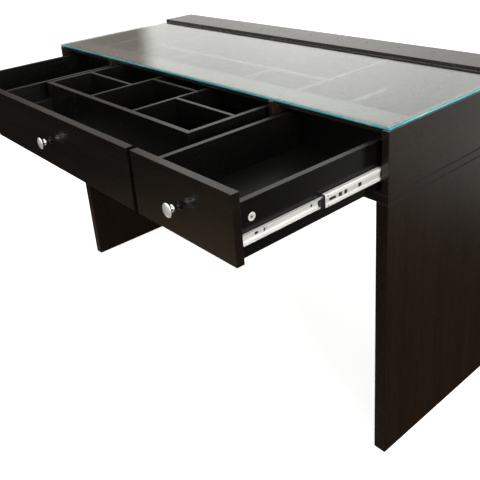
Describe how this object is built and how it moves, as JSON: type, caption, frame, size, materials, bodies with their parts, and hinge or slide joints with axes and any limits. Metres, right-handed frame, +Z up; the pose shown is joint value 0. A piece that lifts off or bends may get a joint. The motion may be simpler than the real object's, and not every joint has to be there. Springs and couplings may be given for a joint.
{
  "type": "manicure table",
  "caption": "Desk-height manicure table: glass top over shallow pull-out drawers on ball-bearing slides, a divided organiser tray inside, and full-depth slab legs.",
  "frame": {"origin": "on the floor under the middle of the whole table with the drawers open, as it stands at rest", "axes": "+X to the sitter's right along the table's width, +Y away from the sitter towards the rear strip, +Z up"},
  "size_m": [1.28, 0.895, 0.762],
  "materials": {
    "case_laminate": "satin espresso laminate",
    "front_laminate": "semi-gloss espresso laminate",
    "drawer_laminate": "satin black-brown laminate",
    "drawer_floor": "satin black hardboard",
    "glass": "clear float glass with polished edges",
    "clear_bumper": "clear soft plastic",
    "knob_chrome": "polished",
    "slide_zinc": "bright zinc",
    "black_plastic": "moulded",
    "fitting_nickel": "nickel plated"
  },
  "bodies": {
    "case": {"back_panel": "case_laminate", "bottom_panel": "case_laminate", "front_rail": "case_laminate", "glass_battens": "case_laminate", "glass_bumpers": "clear_bumper", "glass_top": "glass", "left_leg": "case_laminate", "left_partition": "case_laminate", "left_side_panel": "case_laminate", "leg_bolts": "fitting_nickel", "outer_slides": "slide_zinc", "rear_strip": "case_laminate", "right_leg": "case_laminate", "right_partition": "case_laminate", "right_side_panel": "case_laminate"},
    "left_drawer": {"left_drawer_back": "drawer_laminate", "left_drawer_cam_fittings": "fitting_nickel", "left_drawer_floor": "drawer_floor", "left_drawer_front": "front_laminate", "left_drawer_knob": "knob_chrome", "left_drawer_left_inner_slide": "slide_zinc", "left_drawer_left_side": "drawer_laminate", "left_drawer_right_inner_slide": "slide_zinc", "left_drawer_right_side": "drawer_laminate"},
    "centre_drawer": {"centre_drawer_back": "drawer_laminate", "centre_drawer_cam_fittings": "fitting_nickel", "centre_drawer_floor": "drawer_floor", "centre_drawer_front": "front_laminate", "centre_drawer_knob": "knob_chrome", "centre_drawer_left_inner_slide": "slide_zinc", "centre_drawer_left_side": "drawer_laminate", "centre_drawer_right_inner_slide": "slide_zinc", "centre_drawer_right_side": "drawer_laminate", "tray_front_wall": "drawer_laminate", "tray_left_column_divider": "drawer_laminate", "tray_left_wall": "drawer_laminate", "tray_middle_cross_divider": "drawer_laminate", "tray_rear_wall": "drawer_laminate", "tray_right_column_divider": "drawer_laminate", "tray_right_wall": "drawer_laminate", "tray_short_cross_dividers": "drawer_laminate"},
    "right_drawer": {"right_drawer_back": "drawer_laminate", "right_drawer_cam_fittings": "fitting_nickel", "right_drawer_floor": "drawer_floor", "right_drawer_front": "front_laminate", "right_drawer_knob": "knob_chrome", "right_drawer_left_inner_slide": "slide_zinc", "right_drawer_left_side": "drawer_laminate", "right_drawer_right_inner_slide": "slide_zinc", "right_drawer_right_side": "drawer_laminate"},
    "left_drawer_slides": {"left_drawer_left_middle_slide": "slide_zinc", "left_drawer_right_middle_slide": "slide_zinc", "left_drawer_slide_stops": "black_plastic"},
    "centre_drawer_slides": {"centre_drawer_left_middle_slide": "slide_zinc", "centre_drawer_right_middle_slide": "slide_zinc", "centre_drawer_slide_stops": "black_plastic"},
    "right_drawer_slides": {"right_drawer_left_middle_slide": "slide_zinc", "right_drawer_right_middle_slide": "slide_zinc", "right_drawer_slide_stops": "black_plastic"}
  },
  "joints": [
    {"name": "left_drawer_pull", "type": "slide", "parent": "case", "child": "left_drawer", "axis": [0, -1, 0], "range_m": [-0.348, 0.002]},
    {"name": "left_middle_slide_run", "type": "slide", "parent": "case", "child": "left_drawer_slides", "axis": [0, -1, 0], "range_m": [-0.174, 0.001]},
    {"name": "centre_drawer_pull", "type": "slide", "parent": "case", "child": "centre_drawer", "axis": [0, -1, 0], "range_m": [-0.348, 0.002]},
    {"name": "centre_middle_slide_run", "type": "slide", "parent": "case", "child": "centre_drawer_slides", "axis": [0, -1, 0], "range_m": [-0.174, 0.001]},
    {"name": "right_drawer_pull", "type": "slide", "parent": "case", "child": "right_drawer", "axis": [0, -1, 0], "range_m": [-0.348, 0.002]},
    {"name": "right_middle_slide_run", "type": "slide", "parent": "case", "child": "right_drawer_slides", "axis": [0, -1, 0], "range_m": [-0.174, 0.001]}
  ],
  "couplings": [
    {"joint": "left_middle_slide_run", "follows": "left_drawer_pull", "ratio": 0.5},
    {"joint": "centre_middle_slide_run", "follows": "centre_drawer_pull", "ratio": 0.5},
    {"joint": "right_middle_slide_run", "follows": "right_drawer_pull", "ratio": 0.5}
  ]
}
